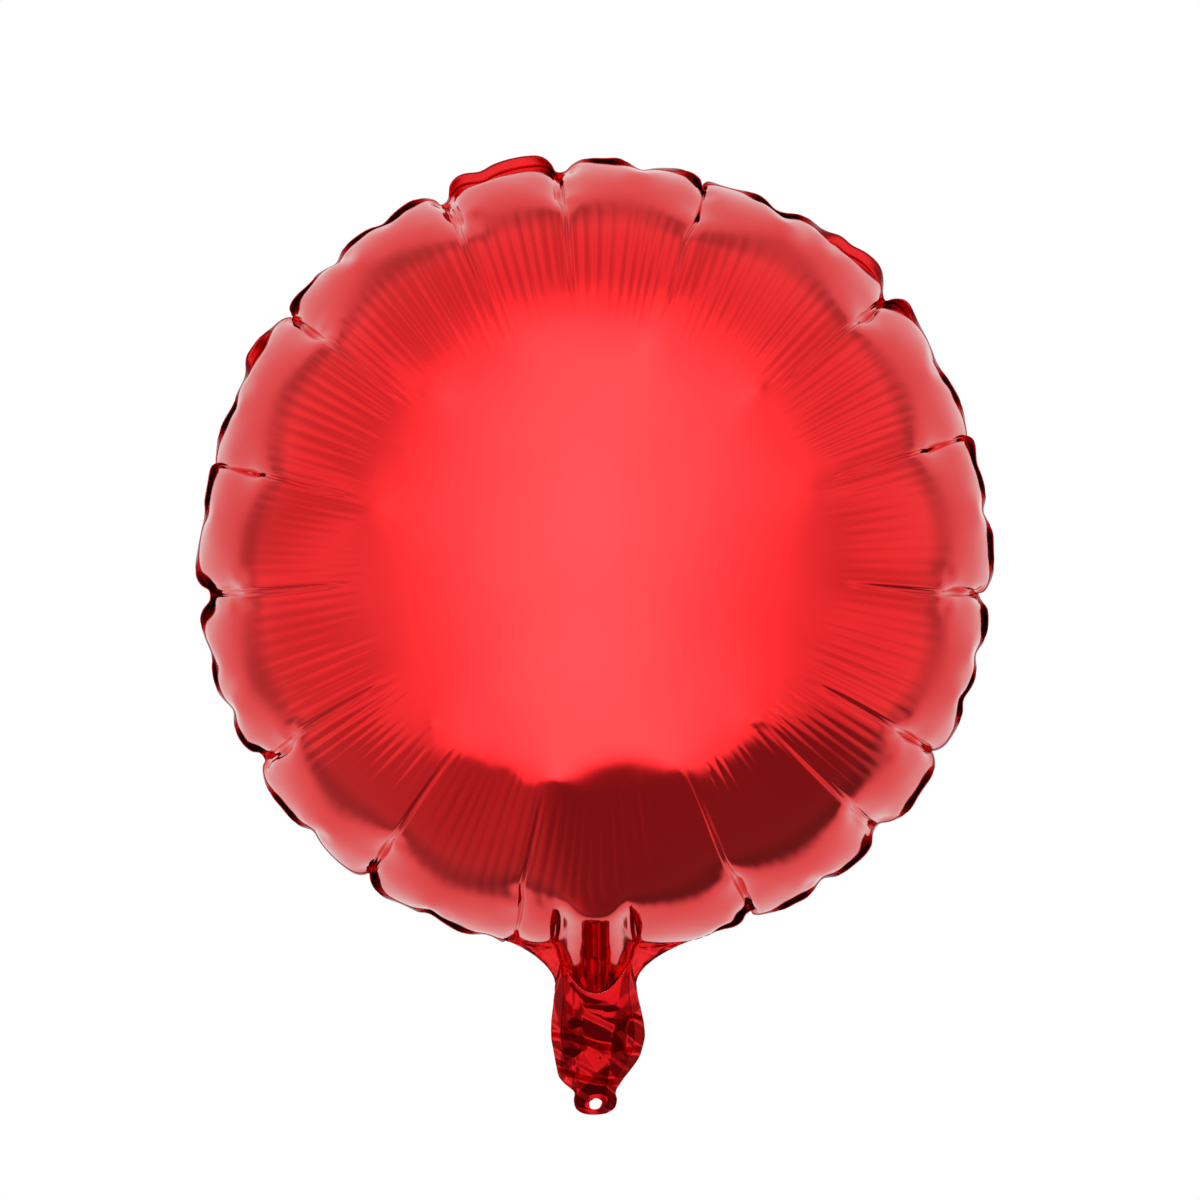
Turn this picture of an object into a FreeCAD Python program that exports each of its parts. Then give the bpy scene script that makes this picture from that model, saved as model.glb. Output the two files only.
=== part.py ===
import FreeCAD, Part
import Sketcher
import math
import os

# A round self-sealing foil balloon, blown up, standing upright with its tail down.
# Millimetres. X runs across the balloon, +Z up, and the front panel faces -Y.
# The origin is the centre of the tie hole in the tab at the bottom of the tail.
#
# Two discs of metallised film are welded together round their rim. Below the rim the
# same films run on as a neck, a flat tail and a tab. The tail bends at a crease under
# the neck, and the tab bends at a crease under the tail. A valve of two thin clear films
# runs up the middle of the tail, through the neck and into the envelope.

# Driving dimensions: alias, value, what it is.
DIMENSIONS = [
    ("rim_radius", 168.0, "radius of the rim weld's inner edge on the inflated envelope"),
    ("envelope_depth", 204.0, "outer depth from the front crown to the back crown"),
    ("rim_curve", 75.0, "radius of the envelope's profile next to the rim"),
    ("weld_width", 5.0, "width of the welded flange round the rim"),
    ("film_thickness", 0.3, "thickness that stands for one foil film"),
    ("seam_width", 5.0, "width of the seams down the neck's and the tail's sides"),
    ("neck_width", 40.0, "width of the neck and of the tail"),
    ("neck_length", 27.0, "from the flange's lowest point to the neck crease"),
    ("neck_flare", 22.0, "radius of the web between the rim and the neck's side"),
    ("crease_gap", 1.0, "gap between two bodies at a crease"),
    ("tail_length", 34.0, "from the neck crease to the tab crease"),
    ("shoulder_rise", 7.0, "height of the sloping shoulders above the tab crease"),
    ("tab_width", 19.0, "width of the tab"),
    ("tab_rise", 6.5, "from the tie hole's centre up to the tab crease"),
    ("tab_drop", 4.8, "from the tie hole's centre down to the tab's end"),
    ("tab_corner", 4.0, "radius of the tab's two lower corners"),
    ("hole_radius", 2.6, "radius of the tie hole"),
    ("valve_film", 0.15, "thickness that stands for one valve film"),
    ("valve_play", 0.1, "gap between a valve film and the foil beside it"),
    ("valve_margin", 1.0, "gap between the valve's edge and the side seam"),
    ("valve_slit", 0.1, "gap between the two valve films at rest"),
    ("print_film", 0.05, "thickness that stands for the release print"),
    ("print_height", 12.0, "height of the release print across the neck"),
    ("seal_height", 5.0, "height of the two seals that bond the valve to the foil"),
    ("seal_rise", 7.0, "from the neck crease up to the middle of the seals"),
    ("flap_inset", 3.5, "from the rim weld's inner edge up to the valve flaps' crease"),
    ("flap_length", 36.0, "length of the free valve flaps inside the envelope"),
    ("inlet_radius", 3.0, "radius of the inlet hole in the back films"),
    ("inlet_rise", 8.0, "from the lower end of the valve up to the inlet hole's centre"),
    ("valve_foot", 8.0, "from the tab crease up to the lower end of the valve"),
]

SHEET = "Dimensions"

doc = FreeCAD.newDocument("foil_balloon")


def make_sheet():
    """Write the driving dimensions into the spreadsheet and give each its alias."""
    sheet = doc.addObject("Spreadsheet::Sheet", SHEET)
    for row, (alias, value, meaning) in enumerate(DIMENSIONS, start=1):
        sheet.set("A%d" % row, meaning)
        sheet.set("B%d" % row, "%g" % value)
        sheet.setAlias("B%d" % row, alias)
    doc.recompute()
    return sheet


sheet = make_sheet()


def size(alias):
    """The present value of one driving dimension."""
    return float(getattr(sheet, alias))


def cell(text):
    """Turn {alias} in an expression into a reference to the sheet."""
    for alias, _, _ in DIMENSIONS:
        text = text.replace("{%s}" % alias, "%s.%s" % (SHEET, alias))
    return text


def bind(thing, prop, text):
    """Drive one property from the sheet."""
    thing.setExpression(prop, cell(text))


# Heights above the tie hole, as expressions of the driving dimensions.
TAB_CREASE = "{tab_rise}"
NECK_CREASE = "({tab_rise} + {tail_length})"
SEAL = "({tab_rise} + {tail_length} + {seal_rise})"
CENTRE = "({tab_rise} + {tail_length} + {neck_length} + {weld_width} + {rim_radius})"
FLAP_CREASE = "({tab_rise} + {tail_length} + {neck_length} + {weld_width} + {flap_inset})"
VALVE_FOOT = "({tab_rise} + {valve_foot})"

# The valve fills the gap between the foils, and lies between the side seams.
SEAM_GAP = "({valve_slit} + 2 * {valve_film} + 2 * {valve_play})"
PASSAGE = "({neck_width} - 2 * {seam_width})"
VALVE_WIDTH = "({neck_width} - 2 * {seam_width} - 2 * {valve_margin})"

# How far each layer lies in front of the middle plane, along the sketch normal, -Y.
MIDDLE = "0"
FRONT_FILM = SEAM_GAP + " / 2"
BACK_FILM = "-" + SEAM_GAP + " / 2 - {film_thickness}"
BETWEEN_FILMS = "-" + SEAM_GAP + " / 2"


def value(text):
    """The present value of an expression of the driving dimensions."""
    for alias, _, _ in DIMENSIONS:
        text = text.replace("{%s}" % alias, repr(size(alias)))
    return FreeCAD.Units.Quantity(text).Value


def new_body(label):
    body = doc.addObject("PartDesign::Body", label)
    body.Label = label
    return body


def origin_plane(body, role):
    return [f for f in body.Origin.OriginFeatures if f.Role == role][0]


def flat_sketch(body, name, offset):
    """A sketch in the balloon's middle plane (X across, Z up), moved along -Y by offset."""
    sketch = body.newObject("Sketcher::SketchObject", name)
    sketch.AttachmentSupport = [(origin_plane(body, "XZ_Plane"), "")]
    sketch.MapMode = "FlatFace"
    bind(sketch, "AttachmentOffset.Base.z", offset)
    return sketch


def dimension(sketch, name, text, kind, *ends):
    """Add a named sketch dimension whose size is an expression of the driving dimensions."""
    number = sketch.addConstraint(Sketcher.Constraint(kind, *ends, value(text)))
    sketch.renameConstraint(number, name)
    bind(sketch, "Constraints." + name, text)


def place(sketch, name, item, end, side, x_text, level, z_text):
    """Fix a point at x = side * x_text and z = level * z_text, side and level being 1 or -1."""
    if x_text == "0":
        sketch.addConstraint(Sketcher.Constraint("PointOnObject", item, end, -2))
    elif side > 0:
        dimension(sketch, name + "X", x_text, "DistanceX", -1, 1, item, end)
    else:
        dimension(sketch, name + "X", x_text, "DistanceX", item, end, -1, 1)
    if level > 0:
        dimension(sketch, name + "Z", z_text, "DistanceY", -1, 1, item, end)
    else:
        dimension(sketch, name + "Z", z_text, "DistanceY", item, end, -1, 1)


def polygon(sketch, corners):
    """A closed polygon whose corners are (side, x_text, level, z_text), as in place()."""
    points = [FreeCAD.Vector(side * value(x), level * value(z), 0)
              for side, x, level, z in corners]
    count = len(points)
    lines = [sketch.addGeometry(Part.LineSegment(points[i], points[(i + 1) % count]), False)
             for i in range(count)]
    for i in range(count):
        after = lines[(i + 1) % count]
        sketch.addConstraint(Sketcher.Constraint("Coincident", lines[i], 2, after, 1))
    for i, corner in enumerate(corners):
        place(sketch, "corner%d" % i, lines[i], 1, *corner)


def circle(sketch, name, radius_text, z_text=None):
    """A circle on the centre line, at the sketch's origin unless z_text gives its height."""
    height = value(z_text) if z_text else 0
    outline = Part.Circle(FreeCAD.Vector(0, height, 0), FreeCAD.Vector(0, 0, 1),
                          value(radius_text))
    item = sketch.addGeometry(outline, False)
    if z_text:
        place(sketch, name, item, 3, 1, "0", 1, z_text)
    else:
        sketch.addConstraint(Sketcher.Constraint("Coincident", item, 3, -1, 1))
    dimension(sketch, name + "Radius", radius_text, "Radius", item)


def constrain(sketch, rules):
    for rule in rules:
        sketch.addConstraint(Sketcher.Constraint(*rule))


def segment(sketch, x1, z1, x2, z2):
    line = Part.LineSegment(FreeCAD.Vector(x1, z1, 0), FreeCAD.Vector(x2, z2, 0))
    return sketch.addGeometry(line, False)


def bow(sketch, x, z, radius, low, high):
    """An arc about (x, z) from the angle low to the angle high."""
    whole = Part.Circle(FreeCAD.Vector(x, z, 0), FreeCAD.Vector(0, 0, 1), radius)
    return sketch.addGeometry(Part.ArcOfCircle(whole, low, high), False)


def pad(body, sketch, thickness):
    feature = body.newObject("PartDesign::Pad", sketch.Name + "Pad")
    feature.Profile = sketch
    bind(feature, "Length", thickness)
    return feature


def pocket_through(body, sketch):
    """Cut a sketch right through the body, both ways from its plane."""
    feature = body.newObject("PartDesign::Pocket", sketch.Name + "Pocket")
    feature.Profile = sketch
    feature.Type = "ThroughAll"
    feature.SideType = "Symmetric"
    return feature


# ---------------------------------------------------------------- envelope outline


OUTER_RIM = "({rim_radius} + {weld_width})"
NECK_END = "({rim_radius} + {weld_width} + {neck_length} - {crease_gap} / 2)"


def flange_outline(sketch):
    """The welded flange: a circle that flares into the neck. Local origin: its centre."""
    outer = value(OUTER_RIM)
    half = size("neck_width") / 2
    flare = size("neck_flare")
    foot = -value(NECK_END)
    across = half + flare
    down = -math.sqrt((outer + flare) ** 2 - across ** 2)
    turn = math.atan2(-down, across)
    rim = bow(sketch, 0, 0, outer, -turn, math.pi + turn)
    left = bow(sketch, -across, down, flare, 0, turn)
    right = bow(sketch, across, down, flare, math.pi - turn, math.pi)
    left_side = segment(sketch, -half, down, -half, foot)
    bottom = segment(sketch, -half, foot, half, foot)
    right_side = segment(sketch, half, foot, half, down)
    constrain(sketch, [
        ("Coincident", rim, 3, -1, 1),
        ("Tangent", rim, 2, left, 2),
        ("Tangent", rim, 1, right, 1),
        ("Tangent", left, 1, left_side, 1),
        ("Tangent", right, 2, right_side, 2),
        ("Coincident", left_side, 2, bottom, 1),
        ("Coincident", bottom, 2, right_side, 1),
        ("Vertical", left_side),
        ("Vertical", right_side),
        ("Horizontal", bottom),
        ("Equal", left, right),
    ])
    dimension(sketch, "rimRadius", OUTER_RIM, "Radius", rim)
    dimension(sketch, "flare", "{neck_flare}", "Radius", left)
    dimension(sketch, "half", "{neck_width} / 2", "DistanceX", -1, 1, right_side, 1)
    dimension(sketch, "width", "{neck_width}", "DistanceX", bottom, 1, bottom, 2)
    dimension(sketch, "foot", NECK_END, "DistanceY", bottom, 1, -1, 1)


def dome_profile(sketch, side):
    """Half section of one inflated panel: two tangent arcs, flat crown and tight rim.

    The sketch's x is the radius and its y the depth; side is -1 for the front, 1 for the back."""
    radius = size("rim_radius")
    curve = size("rim_curve")
    film = size("film_thickness")
    start = value(SEAM_GAP) / 2
    rise = size("envelope_depth") / 2 - start - film
    crown = ((radius - curve) ** 2 + rise ** 2 - curve ** 2) / (2 * (rise - curve))
    rim_x = radius - curve
    crown_y = start + rise - crown
    turn = math.pi / 2 - math.atan2(rim_x, start - crown_y)

    def arc(x, y, r, low, high):
        """An arc given for the back panel, mirrored for the front one."""
        if side < 0:
            low, high = -high, -low
        return bow(sketch, x, side * y, r, low, high)

    inner_rim = arc(rim_x, start, curve, 0, turn)
    inner_crown = arc(0, crown_y, crown, turn, math.pi / 2)
    outer_rim = arc(rim_x, start, curve + film, 0, turn)
    outer_crown = arc(0, crown_y, crown + film, turn, math.pi / 2)
    top = segment(sketch, 0, side * (start + rise), 0, side * (start + rise + film))
    base = segment(sketch, radius, side * start, radius + film, side * start)
    low, high = (1, 2) if side > 0 else (2, 1)
    constrain(sketch, [
        ("Tangent", inner_rim, high, inner_crown, low),
        ("Tangent", outer_rim, high, outer_crown, low),
        ("Coincident", inner_crown, high, top, 1),
        ("Coincident", outer_crown, high, top, 2),
        ("Coincident", inner_rim, low, base, 1),
        ("Coincident", outer_rim, low, base, 2),
        ("Coincident", inner_rim, 3, outer_rim, 3),
        ("Coincident", inner_crown, 3, outer_crown, 3),
        ("PointOnObject", inner_crown, 3, -2),
        ("PointOnObject", top, 1, -2),
        ("Vertical", top),
        ("Horizontal", base),
        ("Horizontal", inner_rim, 3, base, 1),
    ])
    dimension(sketch, "rimCurve", "{rim_curve}", "Radius", inner_rim)
    dimension(sketch, "filmWidth", "{film_thickness}", "DistanceX", base, 1, base, 2)
    place(sketch, "start", base, 1, 1, "{rim_radius}", side, SEAM_GAP + " / 2")
    crown_text = "{envelope_depth} / 2 - {film_thickness}"
    if side > 0:
        dimension(sketch, "crownDepth", crown_text, "DistanceY", -1, 1, top, 1)
    else:
        dimension(sketch, "crownDepth", crown_text, "DistanceY", top, 1, -1, 1)


def make_panel(label, side):
    """One disc of foil: the inflated dome, its welded flange and its side of the neck."""
    body = new_body(label)
    bind(body, "Placement.Base.z", CENTRE)
    flange = flat_sketch(body, label + "_flange", FRONT_FILM if side < 0 else BACK_FILM)
    flange_outline(flange)
    circle(flange, "open", "{rim_radius}")
    pad(body, flange, "{film_thickness}")
    dome = body.newObject("Sketcher::SketchObject", label + "_dome")
    dome.AttachmentSupport = [(origin_plane(body, "XY_Plane"), "")]
    dome.MapMode = "FlatFace"
    dome_profile(dome, side)
    turned = body.newObject("PartDesign::Revolution", label + "_revolution")
    turned.Profile = dome
    turned.ReferenceAxis = (dome, ["V_Axis"])
    turned.Angle = 360
    return body


def make_rim_weld():
    """The seam between the two panels, open at the bottom where the valve goes through."""
    body = new_body("rim_weld")
    bind(body, "Placement.Base.z", CENTRE)
    flange = flat_sketch(body, "rim_weld_flange", BETWEEN_FILMS)
    flange_outline(flange)
    circle(flange, "open", "{rim_radius}")
    pad(body, flange, SEAM_GAP)
    passage = flat_sketch(body, "rim_weld_passage", MIDDLE)
    half = PASSAGE + " / 2"
    polygon(passage, [
        (-1, half, -1, OUTER_RIM + " + {neck_length}"),
        (1, half, -1, OUTER_RIM + " + {neck_length}"),
        (1, half, -1, "{rim_radius} / 2"),
        (-1, half, -1, "{rim_radius} / 2"),
    ])
    pocket_through(body, passage)
    return body


# ---------------------------------------------------------------- tail


TAIL_TOP = NECK_CREASE + " - {crease_gap} / 2"
TAIL_FOOT = TAB_CREASE + " + {crease_gap} / 2"
SHOULDER = TAB_CREASE + " + {shoulder_rise}"
INLET = "({tab_rise} + {valve_foot} + {inlet_rise})"


def tail_outline(sketch):
    """Straight sides, then shoulders that slope in to the tab."""
    polygon(sketch, [
        (-1, "{neck_width} / 2", 1, TAIL_TOP),
        (-1, "{neck_width} / 2", 1, SHOULDER),
        (-1, "{tab_width} / 2", 1, TAIL_FOOT),
        (1, "{tab_width} / 2", 1, TAIL_FOOT),
        (1, "{neck_width} / 2", 1, SHOULDER),
        (1, "{neck_width} / 2", 1, TAIL_TOP),
    ])


def make_tail_film(label, offset, with_inlet):
    """The front or back film of the tail; the back one has the inlet hole."""
    body = new_body(label)
    sketch = flat_sketch(body, label + "_outline", offset)
    tail_outline(sketch)
    if with_inlet:
        circle(sketch, "inlet", "{inlet_radius}", INLET)
    pad(body, sketch, "{film_thickness}")
    return body


def make_tail_weld():
    """The seam down both sides and across the foot of the tail, round the passage."""
    body = new_body("tail_weld")
    sketch = flat_sketch(body, "tail_weld_outline", BETWEEN_FILMS)
    tail_outline(sketch)
    pad(body, sketch, SEAM_GAP)
    passage = flat_sketch(body, "tail_weld_passage", MIDDLE)
    half = PASSAGE + " / 2"
    polygon(passage, [
        (-1, half, 1, NECK_CREASE),
        (-1, half, 1, VALVE_FOOT),
        (1, half, 1, VALVE_FOOT),
        (1, half, 1, NECK_CREASE),
    ])
    pocket_through(body, passage)
    return body


# ---------------------------------------------------------------- tab


TAB_TOP = "{tab_rise} - {crease_gap} / 2"


def tab_outline(sketch):
    """The tab's straight sides, rounded lower corners and tie hole."""
    half = size("tab_width") / 2
    top = value(TAB_TOP)
    foot = -size("tab_drop")
    corner = size("tab_corner")
    turn = foot + corner
    crease = segment(sketch, half, top, -half, top)
    left = segment(sketch, -half, top, -half, turn)
    left_corner = bow(sketch, corner - half, turn, corner, math.pi, 1.5 * math.pi)
    bottom = segment(sketch, corner - half, foot, half - corner, foot)
    right_corner = bow(sketch, half - corner, turn, corner, 1.5 * math.pi, 2 * math.pi)
    right = segment(sketch, half, turn, half, top)
    constrain(sketch, [
        ("Coincident", crease, 2, left, 1),
        ("Tangent", left, 2, left_corner, 1),
        ("Tangent", left_corner, 2, bottom, 1),
        ("Tangent", bottom, 2, right_corner, 1),
        ("Tangent", right_corner, 2, right, 1),
        ("Coincident", right, 2, crease, 1),
        ("Horizontal", crease),
        ("Vertical", left),
        ("Vertical", right),
        ("Horizontal", bottom),
        ("Equal", left_corner, right_corner),
    ])
    dimension(sketch, "corner", "{tab_corner}", "Radius", left_corner)
    dimension(sketch, "half", "{tab_width} / 2", "DistanceX", -1, 1, right, 2)
    dimension(sketch, "width", "{tab_width}", "DistanceX", crease, 2, crease, 1)
    dimension(sketch, "top", TAB_TOP, "DistanceY", -1, 1, crease, 1)
    dimension(sketch, "drop", "{tab_drop}", "DistanceY", bottom, 1, -1, 1)
    circle(sketch, "hole", "{hole_radius}")


def make_tab_layer(label, offset, thickness):
    """One of the tab's three layers: front film, weld, back film."""
    body = new_body(label)
    sketch = flat_sketch(body, label + "_outline", offset)
    tab_outline(sketch)
    pad(body, sketch, thickness)
    return body


# ---------------------------------------------------------------- valve

# Y of the front face of each valve layer.
VALVE_FRONT = "-({valve_slit} / 2 + {valve_film})"
VALVE_BACK = "{valve_slit} / 2"
INLET_LENGTH = "{tail_length} - {valve_foot} - {crease_gap} / 2"


def make_strip(label, front, low, length, thickness):
    """A flat strip of the valve, centred on X, from the height low upwards."""
    strip = doc.addObject("Part::Box", label)
    strip.Label = label
    bind(strip, "Length", VALVE_WIDTH)
    bind(strip, "Width", thickness)
    bind(strip, "Height", length)
    bind(strip, "Placement.Base.x", "-" + VALVE_WIDTH + " / 2")
    bind(strip, "Placement.Base.y", front)
    bind(strip, "Placement.Base.z", low)
    return strip


def make_inlet_strip(label):
    """The back valve film in the tail, with the inlet hole through it."""
    strip = make_strip(label + "_strip", VALVE_BACK, VALVE_FOOT, INLET_LENGTH,
                       "{valve_film}")
    punch = doc.addObject("Part::Cylinder", label + "_punch")
    bind(punch, "Radius", "{inlet_radius}")
    bind(punch, "Height", SEAM_GAP)
    punch.Placement.Rotation = FreeCAD.Rotation(FreeCAD.Vector(1, 0, 0), -90)
    bind(punch, "Placement.Base.z", INLET)
    cut = doc.addObject("Part::Cut", label)
    cut.Label = label
    cut.Base = strip
    cut.Tool = punch
    return cut


def make_valve():
    """Two clear films, each in three stretches: in the tail, in the neck, and a free flap."""
    neck_low = NECK_CREASE + " + {crease_gap} / 2"
    neck_length = "{neck_length} + {weld_width} + {flap_inset} - {crease_gap}"
    flap_low = FLAP_CREASE + " + {crease_gap} / 2"
    seal_low = SEAL + " - {seal_height} / 2"
    print_low = SEAL + " - {print_height} / 2"
    layers = (("front", VALVE_FRONT, "-" + SEAM_GAP + " / 2"),
              ("back", VALVE_BACK, "{valve_slit} / 2 + {valve_film}"))
    pieces = [
        make_strip("valve_front_inlet", VALVE_FRONT, VALVE_FOOT, INLET_LENGTH, "{valve_film}"),
        make_inlet_strip("valve_back_inlet"),
    ]
    for side, film_front, seal_front in layers:
        pieces.append(make_strip("valve_%s_neck" % side, film_front, neck_low, neck_length,
                                 "{valve_film}"))
        pieces.append(make_strip("valve_%s_flap" % side, film_front, flap_low,
                                 "{flap_length}", "{valve_film}"))
        pieces.append(make_strip("valve_%s_seal" % side, seal_front, seal_low,
                                 "{seal_height}", "{valve_play}"))
    pieces.append(make_strip("valve_release_print", "-{valve_slit} / 2", print_low,
                             "{print_height}", "{print_film}"))
    return pieces


# ---------------------------------------------------------------- build and write


def check_document():
    """Stop if any object failed or any sketch is not fully and cleanly solved."""
    for thing in doc.Objects:
        if "Invalid" in thing.State or "Error" in thing.State:
            raise RuntimeError("%s failed: %s" % (thing.Label, thing.State))
        if thing.TypeId == "Sketcher::SketchObject" and thing.solve() != 0:
            raise RuntimeError("%s is not solved" % thing.Label)


def write_steps(nodes):
    """Check each node's shape and write it to its own STEP file."""
    os.makedirs("parts", exist_ok=True)
    for node in nodes:
        shape = node.Shape
        if shape.isNull() or not shape.isValid() or len(shape.Solids) != 1:
            raise RuntimeError("%s has no single valid solid" % node.Label)
    for node in nodes:
        node.Shape.exportStep("parts/%s.step" % node.Label)
        box = node.Shape.optimalBoundingBox()
        print("%-20s %10.2f mm3  X %.1f..%.1f  Y %.2f..%.2f  Z %.1f..%.1f" % (
            node.Label, node.Shape.Volume, box.XMin, box.XMax, box.YMin, box.YMax,
            box.ZMin, box.ZMax))


nodes = [
    make_panel("front_panel", -1),
    make_panel("back_panel", 1),
    make_rim_weld(),
    make_tail_film("tail_front_film", FRONT_FILM, False),
    make_tail_film("tail_back_film", BACK_FILM, True),
    make_tail_weld(),
    make_tab_layer("tab_front_film", FRONT_FILM, "{film_thickness}"),
    make_tab_layer("tab_back_film", BACK_FILM, "{film_thickness}"),
    make_tab_layer("tab_weld", BETWEEN_FILMS, SEAM_GAP),
]
nodes += make_valve()
doc.recompute()
check_document()
write_steps(nodes)
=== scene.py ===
"""The looks of an inflated round foil balloon: two discs of red metallised film,
welded at the rim, with a neck, a tail and a tie tab.

All lengths are in metres, X right, Y away from the front, Z up, and the origin is
the middle of the tie hole."""

import math

import bpy
import numpy as np
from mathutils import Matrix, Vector
from mathutils.bvhtree import BVHTree


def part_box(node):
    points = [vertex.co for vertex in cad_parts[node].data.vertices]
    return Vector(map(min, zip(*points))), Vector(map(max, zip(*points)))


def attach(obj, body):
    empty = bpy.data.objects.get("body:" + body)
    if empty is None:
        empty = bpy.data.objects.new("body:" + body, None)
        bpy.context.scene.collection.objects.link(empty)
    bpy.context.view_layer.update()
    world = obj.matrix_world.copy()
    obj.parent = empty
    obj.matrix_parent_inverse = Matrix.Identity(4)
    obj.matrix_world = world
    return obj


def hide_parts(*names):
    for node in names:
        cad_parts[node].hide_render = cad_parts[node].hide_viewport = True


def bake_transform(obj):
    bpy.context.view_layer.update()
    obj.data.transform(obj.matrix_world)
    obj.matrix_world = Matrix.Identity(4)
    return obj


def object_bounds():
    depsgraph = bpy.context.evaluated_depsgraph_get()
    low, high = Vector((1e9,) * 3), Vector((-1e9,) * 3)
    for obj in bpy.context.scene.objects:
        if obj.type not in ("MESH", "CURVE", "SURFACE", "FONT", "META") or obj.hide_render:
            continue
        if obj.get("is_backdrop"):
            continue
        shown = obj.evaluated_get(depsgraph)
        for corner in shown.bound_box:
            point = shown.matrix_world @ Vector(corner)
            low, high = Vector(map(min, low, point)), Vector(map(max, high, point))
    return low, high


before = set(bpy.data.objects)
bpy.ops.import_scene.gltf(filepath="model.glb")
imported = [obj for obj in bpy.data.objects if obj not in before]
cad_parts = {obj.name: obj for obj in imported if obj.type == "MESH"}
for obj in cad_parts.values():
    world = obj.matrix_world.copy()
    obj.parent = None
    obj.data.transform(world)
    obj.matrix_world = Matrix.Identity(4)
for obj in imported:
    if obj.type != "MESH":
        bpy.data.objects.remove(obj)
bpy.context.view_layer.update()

# ---- the flat cut ----
RIM_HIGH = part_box("rim_weld")[1]
WELD = 0.005  # width of the pressed band at the rim
RIM_RADIUS = RIM_HIGH.x - WELD
CENTRE_Z = RIM_HIGH.z - RIM_HIGH.x
MYLAR_RATIO = 0.7627  # the inflated rim radius over the flat radius of two welded discs
FLAT_RADIUS = RIM_RADIUS / MYLAR_RATIO
AROUND = 240  # steps of the cut round the rim
CORE_SHARE = 0.43  # the middle of the disc is a square grid out to this share of its radius
RINGS = 21
NECK_STEPS = 4  # the open neck is this many steps each side of the bottom
BOTTOM = AROUND // 8  # the step at the very bottom
POCKET_ROWS = 4
POCKET_SIDE, POCKET_MIDDLE = 0.010, 0.028  # length of the gas-filled neck at its sides and in the middle
WEB_LEFT, WEB_RIGHT = BOTTOM - 9, BOTTOM + 11  # where the weld leaves the rim and runs down to the tail
# the deep creases round the rim, in degrees clockwise from the top
CREASES = (
    -23.3, -5.4, 16.0, 47.6, 72.0, 96.5, 119.9, 134.2, 156.6,
    192.2, 216.1, 239.2, 263.3, 283.5, 309.1,
)
SEED_DEPTH, SEED_WIDTH = 0.004, 1.5  # each crease starts as a dent this deep, this many degrees wide
FULL = 1.008  # the lobes swell this much past the rim's own circle
FRONT, BACK, RIM_BAND, TAIL_FILM, TAIL_BAND, TAB = range(6)


def step_direction(m):
    """The unit vector in the balloon's plane towards step m of the rim."""
    turn = math.radians(-135 + 360.0 * m / AROUND)
    return math.cos(turn), math.sin(turn)


def core_point(u, v, radius):
    """A point of the square grid u, v in -1..1, rounded to a disc whose edge is evenly stepped."""
    soft_x, soft_z = u * math.sqrt(1 - v * v / 2), v * math.sqrt(1 - u * u / 2)
    if abs(u) >= abs(v):
        r, turn = abs(u), (math.pi / 4) * (v / u) if u else 0.0
        x, z = math.copysign(r * math.cos(turn), u), math.copysign(1, u) * r * math.sin(turn)
    else:
        r, turn = abs(v), (math.pi / 4) * (u / v)
        x, z = math.copysign(1, v) * r * math.sin(turn), math.copysign(r * math.cos(turn), v)
    w = max(abs(u), abs(v)) ** 4
    return (x * w + soft_x * (1 - w)) * radius, (z * w + soft_z * (1 - w)) * radius


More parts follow.
